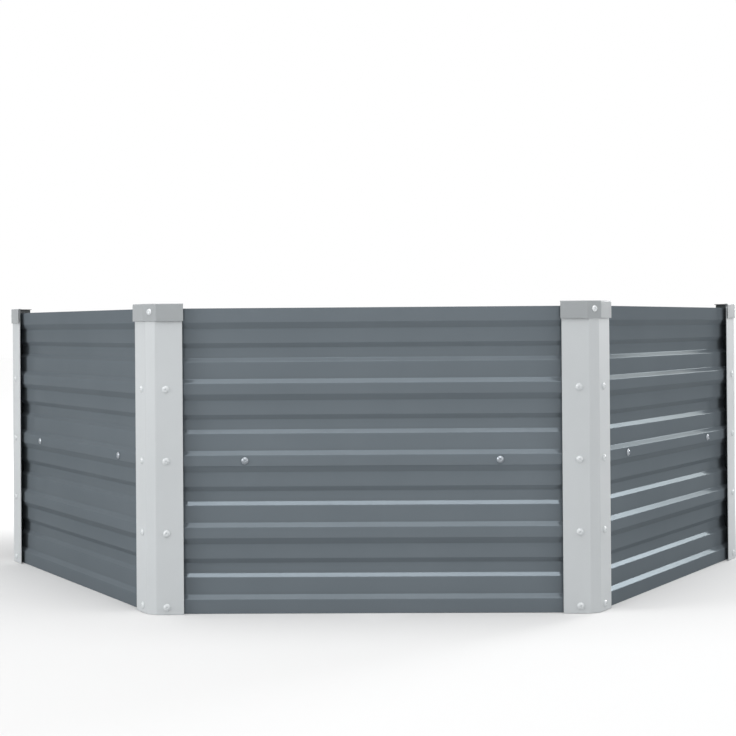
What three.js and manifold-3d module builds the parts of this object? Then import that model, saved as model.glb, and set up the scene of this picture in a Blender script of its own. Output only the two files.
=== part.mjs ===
// Raised garden bed: a regular ring of ribbed steel sheets in two tiers, bolted to folded
// corner posts with a cap on each. Millimetres, +Z up. The origin is on the ground in the
// middle of the bed, and the front side faces -Y.
import * as THREE from 'three';
import { mergeVertices } from 'three/addons/utils/BufferGeometryUtils.js';
import Module from 'manifold-3d';

const wasm = await Module();
wasm.setup();

// ---------------------------------------------------------------- driving dimensions

// Counter-clockwise from the front. A corner is named for where it is, and follows its side.
const sideNames = ['front', 'front_right', 'back_right', 'back', 'back_left', 'front_left'];
const cornerNames = ['front_right', 'right', 'back_right', 'back_left', 'left', 'front_left'];

const bedAcrossFlats = 1146;   // between the outer faces of opposite posts' flanges
const seatGap = 0.3;           // between pieces that sit on each other

// Corner post
const postSheet = 1.5;
const postFlange = 40.5;
const postBevel = 18;
const postFold = 2.5;          // outer radius of its two folds
const postRise = 5.9;          // post above the upper sheet
const standoff = 6.1;          // back of a post's flange to the sheets' crests

// Ribbed sheet: heights of one rib's runs from a crest up to the next, and depths
const ribSheet = 1;
const crestHeight = 16;
const lowerRunHeight = 6.4;    // crest in to the lower step
const lowerStepHeight = 25.2;
const lowerDipHeight = 6.1;    // lower step in to the valley
const valleyHeight = 15.3;
const upperDipHeight = 6.9;    // valley out to the upper step
const upperStepHeight = 21.4;
const upperRunHeight = 9.3;    // upper step out to the next crest
const stepDepth = 5.9;         // steps behind the crests
const dipDepth = 4.5;          // valleys behind the steps
const rimHeight = 21.1;        // flat rim at the ground and at the top
const lapTuck = 13.2;          // lower sheet's rim behind the middle crest
const sheetEndGap = 14.8;      // sheet's end short of where the posts' outer faces meet
const ribsPerSheet = 2;

// Post bolts, lap bolts and their nuts
const boltHead = 10.8;
const boltHeadHeight = 3;
const boltShank = 6;
const boltTip = 2.5;           // thread past the nut
const nutAcrossFlats = 10;
const nutHeight = 5;
const shoulder = 11;           // stand-off collar between a post's flange and a crest
const holeClearance = 0.4;     // round a shank, all the way round
const postBoltInset = 25;      // from a flange's free edge
const lapBoltSpacing = 378;

// Post cap and its screw
const capSheet = 1.2;
const capHeight = 26;
const capBevel = 24.4;
const capReach = 1.9;          // past a flange's free edge
const capLip = 6;
const capScrewDrop = 12;       // screw below the cap's top
const screwHead = 9.4;
const screwHeadHeight = 2.6;
const screwShank = 4.5;
const screwLength = 14;
const screwPoint = 3;

const headRim = 0.6;           // straight edge under a domed head
const domeRings = 2;
const roundSides = 8;
const foldSteps = 2;

// ---------------------------------------------------------------- derived places

const sideTurn = 2 * Math.PI / sideNames.length;
const halfTurn = sideTurn / 2;

const postFace = bedAcrossFlats / 2;
const crestFace = postFace - postSheet - standoff;
const halfSide = postFace * Math.tan(halfTurn);
const postCut = bevelCut(postBevel);
const postLeg = postCut + postFlange;
const postBoltPlace = halfSide - postLeg + postBoltInset;
const sheetLength = 2 * (halfSide - sheetEndGap);

const valleyDepth = stepDepth + dipDepth;
const ribHeight = lowerRunHeight + lowerStepHeight + lowerDipHeight + valleyHeight
  + upperDipHeight + upperStepHeight + upperRunHeight;
const pitch = crestHeight + ribHeight;
const middleCrest = rimHeight + ribsPerSheet * pitch - crestHeight;
const sheetsTop = 2 * middleCrest + crestHeight;
const lapDepth = ribSheet + seatGap;

const postTop = sheetsTop + postRise;
const capTop = postTop + seatGap + capSheet;
const capScrewZ = capTop - capScrewDrop;
const postBevelFace = bevelFace(postFace, postCut);
const capBevelFace = postBevelFace + seatGap + capSheet;
const capCut = bevelCut(capBevel);
const capFace = capBevelFace * Math.cos(halfTurn) + capCut * Math.sin(halfTurn)
  * Math.cos(halfTurn);
const capLeg = capFace * Math.tan(halfTurn) - halfSide + postLeg + capReach;

// Bolts run up each flange, one through every crest but the top rim.
const middleBoltZ = middleCrest + crestHeight / 2;
const crestBolts = [{ z: rimHeight / 2, lapped: false }];
for (let crest = 1 - ribsPerSheet; crest < ribsPerSheet; crest += 1) {
  crestBolts.push({ z: middleBoltZ + crest * pitch, lapped: crest === 0 });
}

// How far a bevel reaches along each side from the sharp corner that it cuts off.
function bevelCut(width) {
  return width / (2 * Math.cos(halfTurn));
}

// Distance from the bed's axis to a bevel, given its sides' distance and its cut.
function bevelFace(sideFace, cut) {
  return sideFace / Math.cos(halfTurn) - cut * Math.sin(halfTurn);
}

// ---------------------------------------------------------------- materials

const sheetPaint = new THREE.MeshStandardMaterial({
  name: 'sheet_paint', color: 0x68707a, roughness: 0.5, metalness: 0.1,
});
const postPaint = new THREE.MeshStandardMaterial({
  name: 'post_paint', color: 0xc3c8cb, roughness: 0.45, metalness: 0.1,
});
const capFinish = new THREE.MeshStandardMaterial({
  name: 'cap_finish', color: 0xa3a7aa, roughness: 0.45, metalness: 0.3,
});
const zincPlate = new THREE.MeshStandardMaterial({
  name: 'zinc_plate', color: 0xc4c8ca, roughness: 0.35, metalness: 0.8,
});

// ---------------------------------------------------------------- solids and meshes

// A closed geometry as a solid that can be joined or cut.
function solidOf(geometry) {
  const bare = new THREE.BufferGeometry();
  bare.setAttribute('position', geometry.getAttribute('position').clone());
  bare.setIndex(geometry.index);
  const merged = mergeVertices(bare, 1e-4);
  const corners = merged.index.array;
  const kept = [];
  for (let i = 0; i < corners.length; i += 3) {
    const [a, b, c] = corners.slice(i, i + 3);
    if (a !== b && b !== c && c !== a) kept.push(a, b, c);
  }
  return new wasm.Manifold(new wasm.Mesh({
    numProp: 3,
    vertProperties: new Float32Array(merged.getAttribute('position').array),
    triVerts: new Uint32Array(kept),
  }));
}

function meshOf(name, solid, material) {
  const { vertProperties, triVerts } = solid.getMesh();
  const geometry = new THREE.BufferGeometry();
  geometry.setAttribute('position', new THREE.BufferAttribute(vertProperties, 3));
  geometry.setIndex(new THREE.BufferAttribute(triVerts, 1));
  geometry.computeVertexNormals();
  const mesh = new THREE.Mesh(geometry, material);
  mesh.name = name;
  return mesh;
}

// ---------------------------------------------------------------- folded sheet outlines

// The closed outline of a sheet that follows a path, whose outer face is on the path's right.
// Folds are rounded to a radius on the outer face, and sharp where the radius is 0. They stay
// sharp inside where the sheet is thicker than the radius.
function sheetOutline(path, thickness, radius = 0) {
  const outer = [];
  const inner = [];
  const add = (point, away) => {
    outer.push(point);
    inner.push(point.clone().addScaledVector(away, -thickness));
  };
  const facing = (from, to) => {
    const along = to.clone().sub(from).normalize();
    return new THREE.Vector2(along.y, -along.x);
  };
  path.forEach((point, i) => {
    const before = i > 0 ? facing(path[i - 1], point) : null;
    const after = i < path.length - 1 ? facing(point, path[i + 1]) : null;
    if (!before || !after) {
      add(point.clone(), before ?? after);
      return;
    }
    const mitre = before.clone().add(after).divideScalar(1 + before.dot(after));
    if (radius === 0) {
      add(point.clone(), mitre);
      return;
    }
    const centre = point.clone().addScaledVector(mitre, -radius);
    for (let step = 0; step <= foldSteps; step += 1) {
      const away = before.clone().lerp(after, step / foldSteps).normalize();
      outer.push(centre.clone().addScaledVector(away, radius));
      if (radius > thickness) inner.push(centre.clone().addScaledVector(away, radius - thickness));
    }
    if (radius <= thickness) inner.push(point.clone().addScaledVector(mitre, -thickness));
  });
  return new THREE.Shape([...outer, ...inner.reverse()]);
}

function extruded(shape, depth) {
  return new THREE.ExtrudeGeometry(shape, { depth, bevelEnabled: false });
}

// ---------------------------------------------------------------- ribbed sheets

// The outer face from the ground side up, as [depth behind the crests, height] pairs.
function ribbedFace(bottom, firstCrest, lastCrest, lastDepth) {
  const face = [[0, bottom]];
  const rise = (height, depth) => {
    face.push([depth, face[face.length - 1][1] + height]);
  };
  for (let rib = 0; rib < ribsPerSheet; rib += 1) {
    const last = rib === ribsPerSheet - 1;
    rise(rib === 0 ? firstCrest : crestHeight, 0);
    rise(lowerRunHeight, stepDepth);
    rise(lowerStepHeight, stepDepth);
    rise(lowerDipHeight, valleyDepth);
    rise(valleyHeight, valleyDepth);
    rise(upperDipHeight, stepDepth);
    rise(upperStepHeight, stepDepth);
    rise(upperRunHeight, last ? lastDepth : 0);
  }
  rise(lastCrest, lastDepth);
  return face;
}

function holeThrough(place, z) {
  const cutter = new THREE.CylinderGeometry(
    boltShank / 2 + holeClearance,
    boltShank / 2 + holeClearance,
    4 * (ribSheet + lapDepth),
    roundSides,
  );
  cutter.translate(place, -crestFace + lapDepth / 2, z);
  return solidOf(cutter);
}

function ribbedSheet(name, face, holeHeights, lapHoleZ) {
  const path = face.map(([depth, z]) => new THREE.Vector2(depth - crestFace, z)).reverse();
  const geometry = extruded(sheetOutline(path, ribSheet), sheetLength);
  geometry.applyMatrix4(new THREE.Matrix4().makeBasis(
    new THREE.Vector3(0, 1, 0),
    new THREE.Vector3(0, 0, 1),
    new THREE.Vector3(1, 0, 0),
  ));
  geometry.translate(-sheetLength / 2, 0, 0);
  let sheet = solidOf(geometry);
  for (const end of [-1, 1]) {
    for (const z of holeHeights) {
      sheet = sheet.subtract(holeThrough(end * postBoltPlace, z));
    }
    sheet = sheet.subtract(holeThrough(end * lapBoltSpacing / 2, lapHoleZ));
  }
  return meshOf(name, sheet, sheetPaint);
}

// ---------------------------------------------------------------- bolts, nuts and screws

// A domed head's outline from its underside up to the axis, at a height above the seat.
function domedHead(diameter, height, seat) {
  const radius = diameter / 2;
  const dome = height - headRim;
  const sphere = (radius * radius + dome * dome) / (2 * dome);
  const outline = [new THREE.Vector2(radius, seat)];
  for (let ring = 0; ring <= domeRings; ring += 1) {
    const angle = Math.asin(radius / sphere) * (1 - ring / domeRings);
    outline.push(new THREE.Vector2(
      sphere * Math.sin(angle),
      seat + height - sphere * (1 - Math.cos(angle)),
    ));
  }
  outline[outline.length - 1].x = 0;
  return outline;
}

// Turned about an axis that points out of the bed, which is -Y in a side's own frame.
function turned(outline) {
  const geometry = new THREE.LatheGeometry(outline, roundSides);
  geometry.rotateX(Math.PI);
  return geometry;
}

function hexagon(acrossFlats) {
  const points = [];
  for (let corner = 0; corner < 6; corner += 1) {
    const angle = Math.PI * (corner + 0.5) / 3;
    const reach = acrossFlats / 2 / Math.cos(Math.PI / 6);
    points.push(new THREE.Vector2(reach * Math.cos(angle), reach * Math.sin(angle)));
  }
  return new THREE.Shape(points);
}

// A nut whose outer end is at a depth behind the face that its bolt's head sits on.
function nutGeometry(depth, bore) {
  const shape = hexagon(nutAcrossFlats);
  if (bore > 0) {
    const hole = new THREE.Path();
    for (let i = 0; i < roundSides; i += 1) {
      const angle = -2 * Math.PI * i / roundSides;
      const point = [bore * Math.cos(angle), bore * Math.sin(angle)];
      if (i === 0) hole.moveTo(...point);
      else hole.lineTo(...point);
    }
    shape.holes.push(hole);
  }
  const geometry = extruded(shape, nutHeight);
  geometry.rotateX(-Math.PI / 2);
  geometry.translate(0, depth, 0);
  return geometry;
}

// A post's bolt: domed head, stand-off shoulder, shank and nut. The origin is on the flange.
function postBolt(lapped) {
  const stack = ribSheet + (lapped ? lapDepth : 0);
  const shoulderEnd = postSheet + standoff - seatGap;
  const nutStart = postSheet + standoff + stack + seatGap;
  const tip = nutStart + nutHeight + boltTip;
  const body = solidOf(turned([
    new THREE.Vector2(0, -tip),
    new THREE.Vector2(boltShank / 2, -tip),
    new THREE.Vector2(boltShank / 2, -shoulderEnd),
    new THREE.Vector2(shoulder / 2, -shoulderEnd),
    new THREE.Vector2(shoulder / 2, -postSheet / 2),
    ...domedHead(boltHead, boltHeadHeight + postSheet / 2, -postSheet / 2),
  ]));
  return body.add(solidOf(nutGeometry(nutStart, 0)));
}

function lapBolt(name) {
  const tip = 2 * ribSheet + 2 * seatGap + nutHeight + boltTip;
  const body = solidOf(turned([
    new THREE.Vector2(0, -tip),
    new THREE.Vector2(boltShank / 2, -tip),
    new THREE.Vector2(boltShank / 2, seatGap),
    ...domedHead(boltHead, boltHeadHeight, seatGap),
  ]));
  return meshOf(name, body, zincPlate);
}

function lapNut(name) {
  const depth = ribSheet + lapDepth + seatGap;
  return meshOf(name, solidOf(nutGeometry(depth, boltShank / 2 + seatGap)), zincPlate);
}

function capScrew(name) {
  return meshOf(name, solidOf(turned([
    new THREE.Vector2(0, -screwLength),
    new THREE.Vector2(screwShank / 2, screwPoint - screwLength),
    new THREE.Vector2(screwShank / 2, seatGap),
    ...domedHead(screwHead, screwHeadHeight, seatGap),
  ])), zincPlate);
}

// ---------------------------------------------------------------- posts and caps

// Two flanges and a bevel as a path from left to right. The corner points along -Y.
function cornerPath(sideFace, cut, leg) {
  const tipY = -sideFace / Math.cos(halfTurn);
  const along = (distance, hand) => new THREE.Vector2(
    hand * distance * Math.cos(halfTurn),
    tipY + distance * Math.sin(halfTurn),
  );
  return [along(leg, -1), along(cut, -1), along(cut, 1), along(leg, 1)];
}

function screwHole(radius) {
  const cutter = new THREE.CylinderGeometry(radius, radius, 2 * screwLength, roundSides);
  cutter.translate(0, -postBevelFace, capScrewZ);
  return solidOf(cutter);
}

function cornerPost(name) {
  const outline = sheetOutline(cornerPath(postFace, postCut, postLeg), postSheet, postFold);
  let post = solidOf(extruded(outline, postTop));
  for (const hand of [-1, 1]) {
    for (const { z, lapped } of crestBolts) {
      const bolt = postBolt(lapped)
        .translate(-hand * postBoltPlace, -postFace, z)
        .rotate(0, 0, hand * THREE.MathUtils.radToDeg(halfTurn));
      post = post.add(bolt);
    }
  }
  return meshOf(name, post.subtract(screwHole(screwShank / 2 + seatGap)), postPaint);
}

function postCap(name) {
  const path = cornerPath(capFace, capCut, capLeg);
  const fold = postFold + capSheet;
  const band = extruded(sheetOutline(path, capSheet, fold), capHeight);
  const lip = extruded(sheetOutline(path, capLip, fold), capSheet);
  lip.translate(0, 0, capHeight - capSheet);
  const cap = solidOf(band).add(solidOf(lip)).translate(0, 0, capTop - capHeight);
  return meshOf(name, cap.subtract(screwHole(screwShank / 2 + holeClearance)), capFinish);
}

// ---------------------------------------------------------------- the bed

const singleCrests = crestBolts.filter(({ lapped }) => !lapped).map(({ z }) => z);
const lowerHoles = [...singleCrests.filter((z) => z < middleBoltZ), middleBoltZ];
const upperHoles = [middleBoltZ, ...singleCrests.filter((z) => z > middleBoltZ)];
const lowerFace = ribbedFace(0, rimHeight, lapTuck, lapDepth);
const upperFace = ribbedFace(middleCrest, crestHeight, rimHeight, 0);

const gardenBed = new THREE.Group();

sideNames.forEach((sideName, i) => {
  const side = new THREE.Group();
  side.rotation.z = i * sideTurn;
  side.add(ribbedSheet(`sheet_${sideName}_lower`, lowerFace, lowerHoles, middleBoltZ));
  side.add(ribbedSheet(`sheet_${sideName}_upper`, upperFace, upperHoles, middleBoltZ));
  [-1, 1].forEach((hand, place) => {
    const bolt = lapBolt(`lap_bolt_${sideName}_${place + 1}`);
    const nut = lapNut(`lap_nut_${sideName}_${place + 1}`);
    for (const piece of [bolt, nut]) {
      piece.position.set(hand * lapBoltSpacing / 2, -crestFace, middleBoltZ);
      side.add(piece);
    }
  });
  gardenBed.add(side);
});

cornerNames.forEach((cornerName, i) => {
  const corner = new THREE.Group();
  corner.rotation.z = (i + 0.5) * sideTurn;
  corner.add(cornerPost(`post_${cornerName}`));
  corner.add(postCap(`post_cap_${cornerName}`));
  const screw = capScrew(`cap_screw_${cornerName}`);
  screw.position.set(0, -capBevelFace, capScrewZ);
  corner.add(screw);
  gardenBed.add(corner);
});

export default gardenBed;
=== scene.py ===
"""Raised garden bed: a six-sided ring of ribbed steel sheets in two tiers, bolted to folded
corner posts with a cap on each.

Shapes are made in millimetres and turned into metres when their mesh is made. A side's own
frame has u along the side and -Y out of the bed; a corner's own frame has its corner along -Y.
"""

import math

import bmesh
import bpy
from mathutils import Matrix, Vector


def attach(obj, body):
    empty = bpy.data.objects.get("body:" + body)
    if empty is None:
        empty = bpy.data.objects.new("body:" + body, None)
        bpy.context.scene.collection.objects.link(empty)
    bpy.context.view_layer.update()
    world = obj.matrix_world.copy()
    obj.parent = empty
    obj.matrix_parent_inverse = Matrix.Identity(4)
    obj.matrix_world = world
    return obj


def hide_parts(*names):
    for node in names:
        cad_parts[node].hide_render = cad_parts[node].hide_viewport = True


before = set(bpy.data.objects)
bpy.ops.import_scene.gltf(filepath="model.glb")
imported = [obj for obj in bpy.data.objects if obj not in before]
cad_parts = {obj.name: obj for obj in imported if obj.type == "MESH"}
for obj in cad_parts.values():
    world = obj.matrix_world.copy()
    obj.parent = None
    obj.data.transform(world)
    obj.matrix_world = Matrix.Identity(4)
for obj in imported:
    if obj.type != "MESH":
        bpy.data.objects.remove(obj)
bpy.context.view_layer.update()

MM = 0.001

# ---------------------------------------------------------------- sizes, in millimetres

SIDES = ("front", "front_right", "back_right", "back", "back_left", "front_left")
CORNERS = ("front_right", "right", "back_right", "back_left", "left", "front_left")
TURN = math.tau / len(SIDES)
HALF_TURN = TURN / 2

ACROSS_FLATS = 1146
SEAT_GAP = 0.3

POST_SHEET = 1.5
POST_FLANGE = 40.5
POST_BEVEL = 18
POST_FOLD = 2.5
POST_RISE = 5.9
STANDOFF = 6.1

RIB_SHEET = 1
CREST = 16
LOWER_RUN = 6.4
LOWER_STEP = 25.2
LOWER_DIP = 6.1
VALLEY = 15.3
UPPER_DIP = 6.9
UPPER_STEP = 21.4
UPPER_RUN = 9.3
STEP_DEPTH = 5.9
DIP_DEPTH = 4.5
RIM = 21.1
LAP_TUCK = 13.2
SHEET_END_GAP = 14.8
RIBS = 2
BEND_OUT = 2.4
BEND_IN = 2.0

BOLT_HEAD = 10.8
BOLT_HEAD_HEIGHT = 3
BOLT_SHANK = 6
BOLT_TIP = 2.5
BOLT_TAPER = 0.8
SHOULDER = 11
SHOULDER_CHAMFER = 0.3
POST_BOLT_INSET = 25
LAP_BOLT_SPACING = 378

THREAD_PITCH = 1
THREAD_DEPTH = 0.5
THREAD_LEAD = 0.3
# How far behind its shoulder or seat a thread ends, and where the plain shank is full.
POST_THREAD_END, POST_PLAIN_END = 1, 0.6
LAP_THREAD_END, LAP_PLAIN_END = 0.9, 0.6
SCREW_THREAD_END, SCREW_PLAIN_END = 1.2, 0.9

HEAD_RIM = 0.35
# How far a head's lower edge is drawn in, and how high it is full again.
HEAD_EDGE_IN, HEAD_EDGE_UP = 0.25, 0.2
SOCKET = 3.2
SOCKET_DEPTH = 1
SMALL_SOCKET = 2.8
SMALL_SOCKET_DEPTH = 0.6
SOCKET_CHAMFER = 0.15
SOCKET_DRAFT = 0.1
SOCKET_POINT = 0.35
# Shares of a socket's width: the radius where the dome ends, and the width of its floor.
SOCKET_MOUTH, SOCKET_FLOOR = 0.66, 0.3

NUT = 10
NUT_HEIGHT = 5
NUT_CHAMFER = 0.4
# From a nut's face inwards: how much narrower, how deep, and how far its corners are cut.
NUT_END = ((0.6, 0, 0.7), (0, 0.5, 0.25), (0, 0.9, 0))

CAP_SHEET = 1.2
CAP_HEIGHT = 26
CAP_BEVEL = 24.4
CAP_REACH = 1.9
CAP_LIP = 6
CAP_TOP_FOLD = 1.4
CAP_CORE = 0.4
CAP_SCREW_DROP = 12
SCREW_HEAD = 9.4
SCREW_HEAD_HEIGHT = 2.6
SCREW_SHANK = 4.5
SCREW_LENGTH = 14
SCREW_POINT = 3
SCREW_TIP = 0.15
SCREW_SOCKET = 3
SCREW_SOCKET_DEPTH = 1.2

ROUND = 24
FOLD_STEPS = 6
BEND_STEPS = 5
DOME_RINGS = 6
CAP_FOLD_STEPS = 4
SHEET_SPANS = 8
EDGE_SOFT = 0.28
SOFT_ANGLE = math.radians(50)
SHARP_ANGLE = 32
FOLDED_SHARP_ANGLE = 40

# In metres: points nearer than this are one point, and edges shorter than this are none.
SAME_POINT = 1e-6
NO_LENGTH = 1e-7
# A face that looks inwards by more than this takes the near-black coat that paints the shade
# inside the bed.
INWARD = -0.5
AREA_WEIGHT = 100

# ---------------------------------------------------------------- places that follow


def bevel_cut(width):
    """How far a bevel reaches along each side from the sharp corner that it cuts off."""
    return width / (2 * math.cos(HALF_TURN))


POST_FACE = ACROSS_FLATS / 2
CREST_FACE = POST_FACE - POST_SHEET - STANDOFF
HALF_SIDE = POST_FACE * math.tan(HALF_TURN)
POST_CUT = bevel_cut(POST_BEVEL)
POST_LEG = POST_CUT + POST_FLANGE
POST_BOLT_PLACE = HALF_SIDE - POST_LEG + POST_BOLT_INSET
SHEET_LENGTH = 2 * (HALF_SIDE - SHEET_END_GAP)
VALLEY_DEPTH = STEP_DEPTH + DIP_DEPTH
RIB_HEIGHT = LOWER_RUN + LOWER_STEP + LOWER_DIP + VALLEY + UPPER_DIP + UPPER_STEP + UPPER_RUN
PITCH = CREST + RIB_HEIGHT
MIDDLE_CREST = RIM + RIBS * PITCH - CREST
SHEETS_TOP = 2 * MIDDLE_CREST + CREST
LAP_DEPTH = RIB_SHEET + SEAT_GAP
POST_TOP = SHEETS_TOP + POST_RISE
CAP_TOP = POST_TOP + SEAT_GAP + CAP_SHEET
CAP_SCREW_Z = CAP_TOP - CAP_SCREW_DROP
POST_BEVEL_FACE = POST_FACE / math.cos(HALF_TURN) - POST_CUT * math.sin(HALF_TURN)
CAP_BEVEL_FACE = POST_BEVEL_FACE + SEAT_GAP + CAP_SHEET
CAP_CUT = bevel_cut(CAP_BEVEL)
CAP_FACE = math.cos(HALF_TURN) * (CAP_BEVEL_FACE + CAP_CUT * math.sin(HALF_TURN))
CAP_LEG = CAP_FACE * math.tan(HALF_TURN) - HALF_SIDE + POST_LEG + CAP_REACH
MIDDLE_BOLT_Z = MIDDLE_CREST + CREST / 2
CREST_BOLTS = [(RIM / 2, False)] + [
    (MIDDLE_BOLT_Z + crest * PITCH, crest == 0) for crest in range(1 - RIBS, RIBS)
]

# ---------------------------------------------------------------- materials

UNIT = (0, 1)
WHITE = (1, 1, 1, 1)
NOISE_RANGE = (0.3, 0.7)
COAT_GLOSS_SWING = 0.03
PLATE_GLOSS_SWING = 0.06
SHEET_EDGE_TINT = (0.335, 0.312, 0.282, 1)


def linear(*srgb):
    """A colour written as 0 to 255 screen values, as the shader reads it."""
    return tuple(
        c / 12.92 if c <= 0.04045 else ((c + 0.055) / 1.055) ** 2.4
        for c in (value / 255 for value in srgb)
    ) + (1.0,)


def ranged(tree, value, source, target):
    """A value mapped from one range to another, and held inside it."""
    node = tree.nodes.new("ShaderNodeMapRange")
    for name, number in zip(("From Min", "From Max", "To Min", "To Max"), (*source, *target)):
        node.inputs[name].default_value = number
    tree.links.new(value, node.inputs["Value"])
    return node.outputs["Result"]


class Shader:
    """A material with one principled shader and the noise that varies it."""

    def __init__(self, name):
        self.material = bpy.data.materials.new(name)
        self.material.use_nodes = True
        self.tree = self.material.node_tree
        self.nodes = self.tree.nodes
        self.links = self.tree.links
        self.base = self.nodes["Principled BSDF"]
        self.place = self.nodes.new("ShaderNodeTexCoord").outputs["Object"]

    def set(self, **values):
        for name, value in values.items():
            self.base.inputs[name.replace("_", " ")].default_value = value

    def noise(self, scale, detail=3, stretch=(1, 1, 1)):
        mapping = self.nodes.new("ShaderNodeMapping")
        mapping.inputs["Scale"].default_value = stretch
        self.links.new(self.place, mapping.inputs["Vector"])
        texture = self.nodes.new("ShaderNodeTexNoise")
        texture.inputs["Scale"].default_value = scale
        texture.inputs["Detail"].default_value = detail
        self.links.new(mapping.outputs["Vector"], texture.inputs["Vector"])
        return texture.outputs["Fac"]

    def feed(self, name, output):
        self.links.new(output, self.base.inputs[name])

    def tone(self, noise, dark, light):
        """Varies the base colour. The mix's colour sockets come after those for numbers."""
        factor = ranged(self.tree, noise, NOISE_RANGE, UNIT)
        mix = self.nodes.new("ShaderNodeMix")
        mix.data_type = "RGBA"
        self.links.new(factor, mix.inputs["Factor"])
        mix.inputs[6].default_value = linear(*dark)
        mix.inputs[7].default_value = linear(*light)
        self.feed("Base Color", mix.outputs[2])

    def gloss(self, noise, roughness, swing):
        """Varies the roughness to either side of its level."""
        levels = (roughness - swing, roughness + swing)
        self.feed("Roughness", ranged(self.tree, noise, NOISE_RANGE, levels))

    def bump(self, *layers):
        """Each layer is a height, its strength and its depth in metres."""
        normal = None
        for height, strength, depth in layers:
            node = self.nodes.new("ShaderNodeBump")
            node.inputs["Strength"].default_value = strength
            node.inputs["Distance"].default_value = depth
            self.links.new(height, node.inputs["Height"])
            if normal is not None:
                self.links.new(normal, node.inputs["Normal"])
            normal = node.outputs["Normal"]
        self.feed("Normal", normal)


def coated_steel(name, light, dark, roughness, peel, metallic, specular, edge=WHITE):
    """Powder coat on steel: a faint uneven tone, a varying gloss, orange peel and a slow waver
    in the sheet. The edge's tint holds back the gloss at grazing angles."""
    shader = Shader(name)
    shader.set(Metallic=metallic, Specular_IOR_Level=specular, Specular_Tint=edge)
    shader.tone(shader.noise(scale=7, detail=4), dark, light)
    shader.gloss(shader.noise(scale=38), roughness, COAT_GLOSS_SWING)
    shader.bump(
        (shader.noise(scale=700, detail=2), peel, 0.0001),
        (shader.noise(scale=9, detail=1, stretch=(1, 1, 3)), 0.15, 0.0003),
    )
    return shader.material


def plated_steel(name, light, dark, roughness, metallic):
    """Zinc plate: a cloudy tone, a varying gloss and a fine grain."""
    shader = Shader(name)
    shader.set(Metallic=metallic)
    shader.tone(shader.noise(scale=420, detail=4), dark, light)
    shader.gloss(shader.noise(scale=900, detail=2), roughness, PLATE_GLOSS_SWING)
    shader.bump((shader.noise(scale=1500, detail=2), 0.12, 0.00005))
    return shader.material


SHEET_PAINT = coated_steel(
    "sheet_coat", light=(108, 116, 122), dark=(105, 113, 119), roughness=0.11, peel=0.05,
    metallic=0.2, specular=0.0, edge=SHEET_EDGE_TINT,
)
POST_PAINT = coated_steel(
    "post_coat", light=(192, 196, 198), dark=(188, 192, 194), roughness=0.40, peel=0.06,
    metallic=0.0, specular=0.3,
)
CAP_PAINT = coated_steel(
    "cap_coat", light=(158, 162, 164), dark=(154, 158, 160), roughness=0.40, peel=0.06,
    metallic=0.0, specular=0.2,
)
# Painted shade: a near-black coat on the inner faces of the posts and caps that stands in for the
# shade inside the bed.
PAINTED_INNER_SHADE = coated_steel(
    "painted_inner_shade_coat", light=(52, 56, 57), dark=(48, 52, 53), roughness=0.5, peel=0.06,
    metallic=0.0, specular=0.2,
)
ZINC = plated_steel(
    "zinc", light=(160, 166, 172), dark=(146, 152, 158), roughness=0.36, metallic=0.6
)
PALE_ZINC = plated_steel(
    "pale_zinc", light=(226, 229, 231), dark=(214, 218, 220), roughness=0.26, metallic=0.3
)
BOLT_PAINT = coated_steel(
    "bolt_coat", light=(205, 209, 211), dark=(200, 204, 206), roughness=0.22, peel=0.04,
    metallic=0.0, specular=0.5,
)

# ---------------------------------------------------------------- meshes

# A form is a list of points in millimetres and a list of faces.


def joined(*forms):
    points, faces = [], []
    for form_points, form_faces in forms:
        start = len(points)
        points += form_points
        faces += [[start + corner for corner in face] for face in form_faces]
    return points, faces


def moved(form, place):
    return [place @ point for point in form[0]], form[1]


def lofted(rings, closed=False):
    """Rings with as many points each, joined in order. The first and last are filled unless
    the loft closes on itself."""
    count = len(rings[0])
    points = [point for ring in rings for point in ring]
    faces = []
    for i in range(len(rings) if closed else len(rings) - 1):
        low, high = i * count, (i + 1) % len(rings) * count
        for j in range(count):
            k = (j + 1) % count
            faces.append([low + j, low + k, high + k, high + j])
    if not closed:
        faces.append(list(range(count)))
        faces.append([len(points) - count + j for j in range(count)])
    return points, faces


def piece(
    name, form, place, material, nodes, soft=0.0, sharp=SHARP_ANGLE, inner_shade=None
):
    """A mesh in the bed's frame that stands for CAD nodes and rides with the bed. Its faces
    towards the bed's middle take the near-black painted-shade coat, if one is given."""
    points, faces = form
    bm = bmesh.new()
    verts = [bm.verts.new((place @ point) * MM) for point in points]
    for face in faces:
        bm.faces.new([verts[corner] for corner in face])
    bmesh.ops.remove_doubles(bm, verts=bm.verts, dist=SAME_POINT)
    bmesh.ops.dissolve_degenerate(bm, edges=bm.edges, dist=NO_LENGTH)
    bmesh.ops.recalc_face_normals(bm, faces=bm.faces)
    if soft:
        edges = [
            edge for edge in bm.edges
            if edge.is_manifold and edge.calc_face_angle() > SOFT_ANGLE
        ]
        bmesh.ops.bevel(
            bm, geom=edges, offset=soft * MM, segments=2, profile=0.5, affect="EDGES",
            clamp_overlap=True,
        )
    # Faces towards the bed's middle get the painted shade.
    if inner_shade:
        for face in bm.faces:
            outward = face.calc_center_median().xy.normalized()
            face.material_index = int(face.normal.xy.dot(outward) < INWARD)
    mesh = bpy.data.meshes.new(name)
    bm.to_mesh(mesh)
    bm.free()
    mesh.polygons.foreach_set("use_smooth", [True] * len(mesh.polygons))
    mesh.set_sharp_from_angle(angle=math.radians(sharp))
    mesh.materials.append(material)
    if inner_shade:
        mesh.materials.append(inner_shade)
    thing = bpy.data.objects.new(name, mesh)
    bpy.context.scene.collection.objects.link(thing)
    weighted = thing.modifiers.new("weighted_normals", "WEIGHTED_NORMAL")
    weighted.keep_sharp = True
    weighted.weight = AREA_WEIGHT
    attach(thing, "root")
    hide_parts(*nodes)
    return thing


def facing(start, end):
    """The direction square to a line, on its right."""
    along = (end - start).normalized()
    return Vector((along.y, -along.x))


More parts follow.
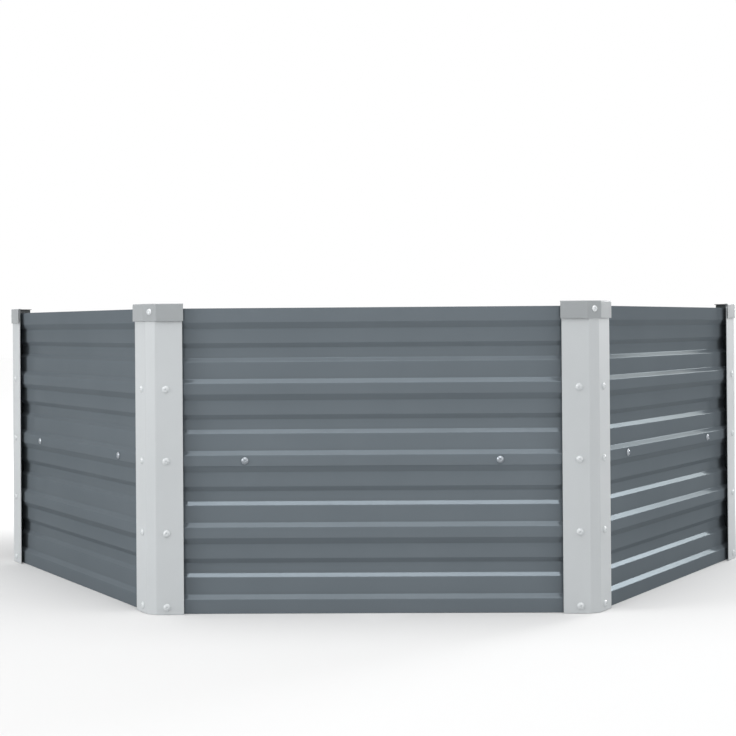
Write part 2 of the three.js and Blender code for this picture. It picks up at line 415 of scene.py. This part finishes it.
def rounded(path, round_out, round_in, steps):
    """A path with its bends rounded, as (point, facing, corner, mitre, radius) samples. The
    outer face is on the path's right. A bend to the left bulges there with the first radius,
    and a bend to the right hollows it with the second."""
    samples = []
    for i, point in enumerate(path):
        before = facing(path[i - 1], point) if i > 0 else None
        after = facing(point, path[i + 1]) if i < len(path) - 1 else None
        if before is None or after is None:
            samples.append((point, before or after, point, before or after, 0))
            continue
        mitre = (before + after) / (1 + before.dot(after))
        left = before.x * after.y - before.y * after.x > 0
        radius = round_out if left else -round_in
        centre = point - mitre * radius
        bend = math.acos(max(-1, min(1, before.dot(after))))
        for step in range(steps + 1):
            turn = Matrix.Rotation((1 if left else -1) * bend * step / steps, 2)
            away = turn @ before
            samples.append((centre + away * radius, away, point, mitre, radius))
    return samples


def strip(samples, thickness):
    """The outer and the inner face of a sheet's section, point for point."""
    outer = [point for point, away, *_ in samples]
    inner = [point - away * thickness for point, away, *_ in samples]
    return outer, inner


def swept(outer, inner, lift, stations):
    """A sheet's section carried along its stations, with ends of matched quads."""
    section = outer + inner[::-1]
    points = [lift(point, station) for station in stations for point in section]
    count, half = len(section), len(outer)
    faces = []
    for i in range(len(stations) - 1):
        low, high = i * count, (i + 1) * count
        for j in range(count):
            k = (j + 1) % count
            faces.append([low + j, low + k, high + k, high + j])
    for start in (0, (len(stations) - 1) * count):
        for j in range(half - 1):
            faces.append([start + j, start + j + 1, start + count - 2 - j, start + count - 1 - j])
    return points, faces


# ---------------------------------------------------------------- ribbed sheets


def ribbed_face(bottom, first_crest, last_crest, last_depth):
    """The outer face from the ground up, as (place out of the bed, height) points."""
    depth, z = 0, bottom
    face = [(depth, z)]
    for rib in range(RIBS):
        last = rib == RIBS - 1
        for height, depth in (
            (CREST if rib else first_crest, 0),
            (LOWER_RUN, STEP_DEPTH),
            (LOWER_STEP, STEP_DEPTH),
            (LOWER_DIP, VALLEY_DEPTH),
            (VALLEY, VALLEY_DEPTH),
            (UPPER_DIP, STEP_DEPTH),
            (UPPER_STEP, STEP_DEPTH),
            (UPPER_RUN, last_depth if last else 0),
        ):
            z += height
            face.append((depth, z))
    face.append((last_depth, z + last_crest))
    return [Vector((depth - CREST_FACE, z)) for depth, z in reversed(face)]


def ribbed_sheet(face):
    outer, inner = strip(rounded(face, BEND_OUT, BEND_IN, BEND_STEPS), RIB_SHEET)
    stations = [SHEET_LENGTH * (i / SHEET_SPANS - 0.5) for i in range(SHEET_SPANS + 1)]
    return swept(outer, inner, lambda p, u: Vector((u, p.x, p.y)), stations)


# ---------------------------------------------------------------- bolts, nuts and screws


def disc(radius, out):
    """A ring about the fastener's axis, at a distance out from its seat."""
    return [
        Vector((radius * math.cos(a), -out, radius * math.sin(a)))
        for a in (math.tau * i / ROUND for i in range(ROUND))
    ]


def hexagon(across, out, limit=None):
    """A six-sided ring, with its corners cut back to a radius."""
    ring = []
    for i in range(ROUND):
        a = math.tau * i / ROUND
        off = (a + math.pi / 6) % (math.pi / 3) - math.pi / 6
        radius = across / 2 / math.cos(off)
        radius = radius if limit is None else min(radius, limit)
        ring.append(Vector((radius * math.cos(a), -out, radius * math.sin(a))))
    return ring


def threaded(radius, start, end):
    """Rings along a thread, from start to end along the axis."""
    rings = []
    turns = max(1, round(abs(end - start) / THREAD_PITCH))
    for i in range(turns):
        low = start + (end - start) * i / turns
        high = start + (end - start) * (i + 0.5) / turns
        rings += [disc(radius - THREAD_DEPTH, low), disc(radius, high)]
    rings.append(disc(radius - THREAD_DEPTH, end))
    return rings


def button_head(diameter, height, seat, socket, depth):
    """Rings over a domed head from its underside to the floor of its socket."""
    radius = diameter / 2
    dome = height - HEAD_RIM
    sphere = (radius * radius + dome * dome) / (2 * dome)
    top = seat + height
    rings = [
        disc(radius - HEAD_EDGE_IN, seat),
        disc(radius, seat + HEAD_EDGE_UP),
        disc(radius, seat + HEAD_RIM),
    ]
    reach = socket * SOCKET_MOUTH
    start, end = math.asin(radius / sphere), math.asin(reach / sphere)
    for ring in range(1, DOME_RINGS + 1):
        angle = start + (end - start) * ring / DOME_RINGS
        rings.append(disc(sphere * math.sin(angle), top - sphere * (1 - math.cos(angle))))
    lip = top - sphere * (1 - math.cos(end))
    rings.append(hexagon(socket, lip - SOCKET_CHAMFER))
    rings.append(hexagon(socket - SOCKET_DRAFT, lip - depth))
    rings.append(hexagon(socket * SOCKET_FLOOR, lip - depth - SOCKET_POINT))
    return rings


def post_bolt_form(lapped):
    stack = RIB_SHEET + (LAP_DEPTH if lapped else 0)
    shoulder_end = POST_SHEET + STANDOFF - SEAT_GAP
    tip = POST_SHEET + STANDOFF + stack + SEAT_GAP + NUT_HEIGHT + BOLT_TIP
    radius = BOLT_SHANK / 2
    return lofted([
        disc(radius - BOLT_TAPER, -tip),
        *threaded(radius, -tip + THREAD_LEAD, -shoulder_end - POST_THREAD_END),
        disc(radius, -shoulder_end - POST_PLAIN_END),
        disc(radius, -shoulder_end),
        disc(SHOULDER / 2 - SHOULDER_CHAMFER, -shoulder_end),
        disc(SHOULDER / 2, -shoulder_end + SHOULDER_CHAMFER),
        disc(SHOULDER / 2, -POST_SHEET),
        disc(radius, -POST_SHEET),
        disc(radius, 0),
        *button_head(BOLT_HEAD, BOLT_HEAD_HEIGHT, 0, SMALL_SOCKET, SMALL_SOCKET_DEPTH),
    ])


def lap_bolt_form():
    tip = 2 * RIB_SHEET + 2 * SEAT_GAP + NUT_HEIGHT + BOLT_TIP
    radius = BOLT_SHANK / 2
    return lofted([
        disc(radius - BOLT_TAPER, -tip),
        *threaded(radius, -tip + THREAD_LEAD, -LAP_THREAD_END),
        disc(radius, -LAP_PLAIN_END),
        disc(radius, SEAT_GAP),
        *button_head(BOLT_HEAD, BOLT_HEAD_HEIGHT, SEAT_GAP, SOCKET, SOCKET_DEPTH),
    ])


def cap_screw_form():
    radius = SCREW_SHANK / 2
    return lofted([
        disc(SCREW_TIP, -SCREW_LENGTH),
        disc(radius - THREAD_DEPTH, SCREW_POINT - SCREW_LENGTH),
        *threaded(radius, SCREW_POINT - SCREW_LENGTH + THREAD_LEAD, -SCREW_THREAD_END),
        disc(radius, -SCREW_PLAIN_END),
        disc(radius, SEAT_GAP),
        *button_head(SCREW_HEAD, SCREW_HEAD_HEIGHT, SEAT_GAP, SCREW_SOCKET, SCREW_SOCKET_DEPTH),
    ])


def nut_form(depth):
    """A nut round a shank, whose outer end is at a depth behind the bolt's seat."""
    corner = NUT / 2 / math.cos(math.pi / 6)
    bore = BOLT_SHANK / 2 + SEAT_GAP / 2
    back = depth + NUT_HEIGHT
    near = [hexagon(NUT - less, -depth - down, corner - cut) for less, down, cut in NUT_END]
    far = [hexagon(NUT - less, -back + down, corner - cut) for less, down, cut in NUT_END]
    return lofted([
        disc(bore + NUT_CHAMFER, -depth),
        *near,
        *reversed(far),
        disc(bore + NUT_CHAMFER, -back),
        disc(bore, -back + NUT_CHAMFER),
        disc(bore, -depth - NUT_CHAMFER),
    ], closed=True)


# ---------------------------------------------------------------- posts and caps


def corner_path(face, cut, leg):
    """Two flanges and a bevel from left to right. The corner points along -Y."""
    tip = -face / math.cos(HALF_TURN)
    return [
        Vector((hand * distance * math.cos(HALF_TURN), tip + distance * math.sin(HALF_TURN)))
        for hand, distance in ((-1, leg), (-1, cut), (1, cut), (1, leg))
    ]


def corner_post_form():
    samples = rounded(corner_path(POST_FACE, POST_CUT, POST_LEG), POST_FOLD, POST_FOLD, FOLD_STEPS)
    outer, inner = strip(samples, POST_SHEET)
    return swept(outer, inner, lambda p, z: Vector((p.x, p.y, z)), [0, POST_TOP])


def post_cap_form():
    """A band with a folded top edge, swept round the corner. Where its section comes
    nearer than the core to a fold's centre, it takes the sharp corner instead."""
    fold = POST_FOLD + CAP_SHEET
    bottom = CAP_TOP - CAP_HEIGHT
    section = [(0, bottom)]
    for step in range(CAP_FOLD_STEPS + 1):
        a = math.pi / 2 * step / CAP_FOLD_STEPS
        depth = CAP_TOP_FOLD * (1 - math.cos(a))
        section.append((depth, CAP_TOP - CAP_TOP_FOLD * (1 - math.sin(a))))
    section += [
        (CAP_LIP, CAP_TOP), (CAP_LIP, CAP_TOP - CAP_SHEET),
        (CAP_SHEET, CAP_TOP - CAP_SHEET), (CAP_SHEET, bottom),
    ]
    rings = []
    for point, away, corner, mitre, radius in rounded(
        corner_path(CAP_FACE, CAP_CUT, CAP_LEG), fold, fold, FOLD_STEPS
    ):
        ring = []
        for depth, z in section:
            crossed = radius and depth > radius - CAP_CORE
            flat = corner - mitre * depth if crossed else point - away * depth
            ring.append(Vector((flat.x, flat.y, z)))
        rings.append(ring)
    return lofted(rings)


# ---------------------------------------------------------------- the bed


def at(place, turn):
    """From a side's or corner's own frame to the bed's."""
    return Matrix.Rotation(turn, 4, "Z") @ Matrix.Translation(Vector(place))


def build_side(index, name):
    turn = index * TURN
    home = at((0, 0, 0), turn)
    for tier, face in (
        ("lower", ribbed_face(0, RIM, LAP_TUCK, LAP_DEPTH)),
        ("upper", ribbed_face(MIDDLE_CREST, CREST, RIM, 0)),
    ):
        piece(
            f"ribbed_{name}_{tier}", ribbed_sheet(face), home, SHEET_PAINT,
            [f"sheet_{name}_{tier}"], soft=EDGE_SOFT, sharp=FOLDED_SHARP_ANGLE,
        )
    for number, hand in enumerate((-1, 1), start=1):
        place = at((hand * LAP_BOLT_SPACING / 2, -CREST_FACE, MIDDLE_BOLT_Z), turn)
        piece(
            f"lap_button_{name}_{number}", lap_bolt_form(), place, ZINC,
            [f"lap_bolt_{name}_{number}"],
        )
        piece(
            f"lap_hex_{name}_{number}", nut_form(RIB_SHEET + LAP_DEPTH + SEAT_GAP), place, ZINC,
            [f"lap_nut_{name}_{number}"],
        )


def build_corner(index, name):
    turn = (index + 0.5) * TURN
    home = at((0, 0, 0), turn)
    node = f"post_{name}"
    piece(
        f"folded_post_{name}", corner_post_form(), home, POST_PAINT, [node],
        soft=EDGE_SOFT, sharp=FOLDED_SHARP_ANGLE, inner_shade=PAINTED_INNER_SHADE,
    )
    bolts, nuts = [], []
    for hand in (-1, 1):
        for z, lapped in CREST_BOLTS:
            seat = at((-hand * POST_BOLT_PLACE, -POST_FACE, z), hand * HALF_TURN)
            stack = RIB_SHEET + (LAP_DEPTH if lapped else 0)
            bolts.append(moved(post_bolt_form(lapped), seat))
            nuts.append(moved(nut_form(POST_SHEET + STANDOFF + stack + SEAT_GAP), seat))
    piece(f"post_buttons_{name}", joined(*bolts), home, BOLT_PAINT, [node])
    piece(f"post_hexes_{name}", joined(*nuts), home, ZINC, [node])
    piece(
        f"banded_cap_{name}", post_cap_form(), home, CAP_PAINT,
        [f"post_cap_{name}"], soft=EDGE_SOFT, sharp=FOLDED_SHARP_ANGLE, inner_shade=PAINTED_INNER_SHADE,
    )
    piece(
        f"cap_button_{name}", cap_screw_form(), at((0, -CAP_BEVEL_FACE, CAP_SCREW_Z), turn),
        PALE_ZINC, [f"cap_screw_{name}"],
    )


for index, side in enumerate(SIDES):
    build_side(index, side)
for index, corner in enumerate(CORNERS):
    build_corner(index, corner)

# ---------------------------------------------------------------- studio

FLOOR_SPAN = 40
FLOOR_LIFT = -0.0005
FLOOR_TONE = (215, 215, 215)
FLOOR_GLOW = (0.05, 0.65)
FLOOR_ROUGHNESS = 0.9
FLOOR_SPECULAR = 0.1
WORLD_LIGHT = 0.438

# Metres over which the glow grows: away from the middle, and behind the bed, where it paints light
# over the bed's shadow.
GLOW_FAR = (2.0, 4.0)
GLOW_BACK = (-0.65, 0.35)

# Place, target, width and height in metres, and watts.
LAMPS = {
    "front_box": ((0, -2.027, 3.111), (0, -0.57, 0.15), (2.6, 0.64), 37.1),
    "overhead": ((0, -0.225, 3.3), (0, -0.225, 0), (3.0, 2.45), 51.4),
    "front_low": ((-0.3, -4.2, 1.5), (0, -0.5, 0.25), (2.5, 1.5), 6.5),
    "left_fill": ((-3.4, -1.9, 1.4), (-0.3, -0.3, 0.25), (1.6, 1.6), 60),
    "right_fill": ((3.4, -1.9, 1.4), (0.3, -0.3, 0.25), (1.6, 1.6), 22.5),
    "right_back": ((2.0355, 2.0767, 1.285), (1.3927, 1.3106, 1.285), (0.51, 0.87), 18.2),
    "right_low": ((2.4185, 1.7553, 1.05), (1.7758, 0.9892, 1.05), (0.49, 0.8), 29.4),
}


def math_node(tree, operation, *values):
    node = tree.nodes.new("ShaderNodeMath")
    node.operation = operation
    for socket, value in zip(node.inputs, values):
        tree.links.new(value, socket)
    return node.outputs[0]


def seen(tree):
    """1 for camera, glossy and transmitted rays, 0 for those that gather light."""
    path = tree.nodes.new("ShaderNodeLightPath").outputs
    glossy = math_node(tree, "MAXIMUM", path["Is Camera Ray"], path["Is Glossy Ray"])
    return math_node(tree, "MAXIMUM", glossy, path["Is Transmission Ray"])


def light_world(level):
    """A white world that is seen at full strength and lights at a lower one."""
    world = bpy.data.worlds.new("studio")
    bpy.context.scene.world = world
    world.use_nodes = True
    tree = world.node_tree
    background = tree.nodes["Background"]
    background.inputs["Color"].default_value = WHITE
    strength = ranged(tree, seen(tree), UNIT, (level, 1))
    tree.links.new(strength, background.inputs["Strength"])


def lay_floor(colour, low, high):
    """A pale floor with a glow that is seen but gives no light. The glow is painted light: it
    grows behind the bed, where it lifts the bed's own shadow, and far from it, where the lamps
    don't reach."""
    bpy.ops.mesh.primitive_plane_add(size=FLOOR_SPAN, location=(0, 0, FLOOR_LIFT))
    floor = bpy.context.object
    floor.name = "floor"
    material = bpy.data.materials.new("floor")
    material.use_nodes = True
    tree = material.node_tree
    shader = tree.nodes["Principled BSDF"]
    shader.inputs["Base Color"].default_value = colour
    shader.inputs["Roughness"].default_value = FLOOR_ROUGHNESS
    shader.inputs["Specular IOR Level"].default_value = FLOOR_SPECULAR
    shader.inputs["Emission Color"].default_value = WHITE
    place = tree.nodes.new("ShaderNodeTexCoord").outputs["Object"]
    apart = tree.nodes.new("ShaderNodeVectorMath")
    apart.operation = "LENGTH"
    tree.links.new(place, apart.inputs[0])
    split = tree.nodes.new("ShaderNodeSeparateXYZ")
    tree.links.new(place, split.inputs[0])
    aside = math_node(tree, "ABSOLUTE", split.outputs["X"])
    back = math_node(tree, "SUBTRACT", split.outputs["Y"], aside)
    far = ranged(tree, apart.outputs["Value"], GLOW_FAR, UNIT)
    share = math_node(tree, "MAXIMUM", far, ranged(tree, back, GLOW_BACK, UNIT))
    level = ranged(tree, share, UNIT, (low, high))
    glow = math_node(tree, "MULTIPLY", level, seen(tree))
    tree.links.new(glow, shader.inputs["Emission Strength"])
    floor.data.materials.append(material)


def area_light(name, place, target, size, watts):
    data = bpy.data.lights.new(name, "AREA")
    data.shape = "RECTANGLE"
    data.size, data.size_y = size
    data.energy = watts
    lamp = bpy.data.objects.new(name, data)
    lamp.location = place
    lamp.rotation_euler = (Vector(target) - Vector(place)).to_track_quat("-Z", "Y").to_euler()
    bpy.context.scene.collection.objects.link(lamp)


light_world(WORLD_LIGHT)
lay_floor(linear(*FLOOR_TONE), *FLOOR_GLOW)
for name, setting in LAMPS.items():
    area_light(name, *setting)

# ---------------------------------------------------------------- camera

# The frame, focal length and picture centre are in pixels, and the sensor in millimetres.
FRAME_WIDTH = 736
FOCAL = 1631.84
CENTRE = (339.644, 318.033)
SENSOR = 36.0
CLIP = (0.05, 100)
EYE = Vector((2.2305, -2981.1109, 425.5096)) * MM
YAW, PITCH_ANGLE, ROLL = -0.0203077, 0.0046781, -0.0073412


def aim_camera():
    ahead = Vector((
        math.sin(YAW) * math.cos(PITCH_ANGLE),
        math.cos(YAW) * math.cos(PITCH_ANGLE),
        math.sin(PITCH_ANGLE),
    ))
    level = Vector((math.cos(YAW), -math.sin(YAW), 0))
    upright = level.cross(ahead)
    right = math.cos(ROLL) * level + math.sin(ROLL) * upright
    up = -math.sin(ROLL) * level + math.cos(ROLL) * upright
    data = bpy.data.cameras.new("camera")
    data.sensor_width = SENSOR
    data.lens = FOCAL / FRAME_WIDTH * SENSOR
    data.shift_x = (FRAME_WIDTH / 2 - CENTRE[0]) / FRAME_WIDTH
    data.shift_y = (CENTRE[1] - FRAME_WIDTH / 2) / FRAME_WIDTH
    data.clip_start, data.clip_end = CLIP
    camera = bpy.data.objects.new("camera", data)
    turned = Matrix((right, up, -ahead)).transposed().to_4x4()
    camera.matrix_world = Matrix.Translation(EYE) @ turned
    bpy.context.scene.collection.objects.link(camera)
    bpy.context.scene.camera = camera


aim_camera()
bpy.context.scene.view_settings.view_transform = "Standard"
